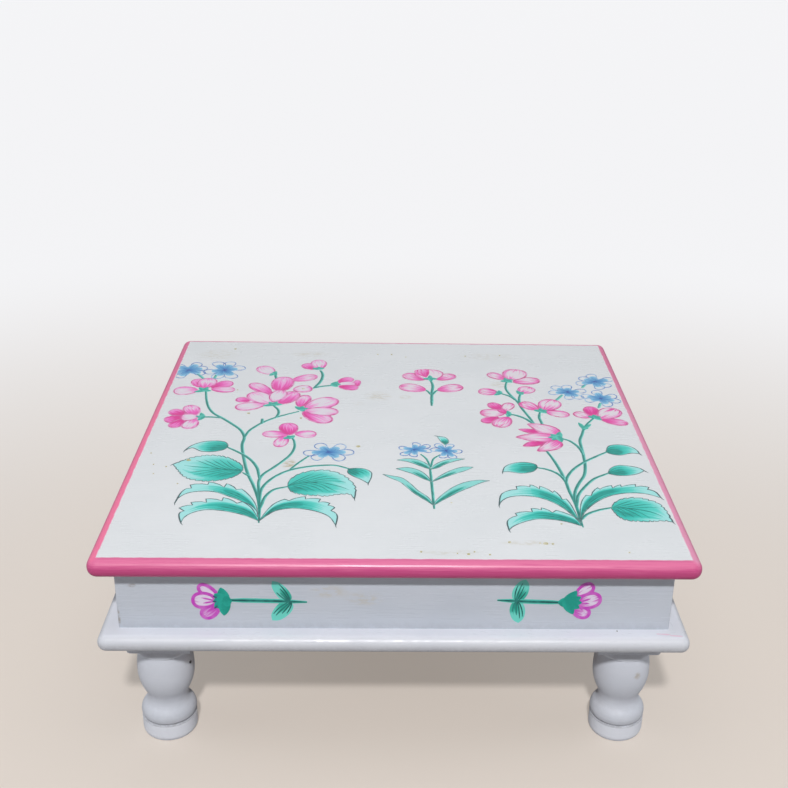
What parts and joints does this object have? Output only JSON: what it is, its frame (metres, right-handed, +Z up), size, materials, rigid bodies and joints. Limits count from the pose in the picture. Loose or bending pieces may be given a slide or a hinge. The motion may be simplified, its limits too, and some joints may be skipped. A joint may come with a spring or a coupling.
{
  "type": "low table",
  "caption": "Low square table: bullnosed painted top on a shallow box, wide rounded base frame and short turned legs",
  "frame": {"origin": "on the floor, under the middle of the table", "axes": "+Z up, front faces -Y, +X to the right seen from the front"},
  "size_m": [0.457, 0.457, 0.183],
  "materials": {
    "top_paint": "satin white paint, pink edge, painted flower sprays",
    "body_paint": "satin cool white paint",
    "bare_wood": "sawn, unpainted",
    "steel": "plain wire nails and screws"
  },
  "bodies": {
    "root": {"top_panel": "top_paint", "apron_front": "body_paint", "apron_back": "body_paint", "apron_left": "body_paint", "apron_right": "body_paint", "frame_front": "body_paint", "frame_back": "body_paint", "frame_left": "body_paint", "frame_right": "body_paint", "bearer_left": "body_paint", "bearer_right": "body_paint", "leg_front_left": "body_paint", "leg_front_right": "body_paint", "leg_back_left": "body_paint", "leg_back_right": "body_paint", "corner_block_front_left": "bare_wood", "corner_block_front_right": "bare_wood", "corner_block_back_left": "bare_wood", "corner_block_back_right": "bare_wood", "top_nails": "steel", "frame_nails": "steel", "leg_nails": "steel", "bearer_screws": "steel"}
  },
  "joints": []
}
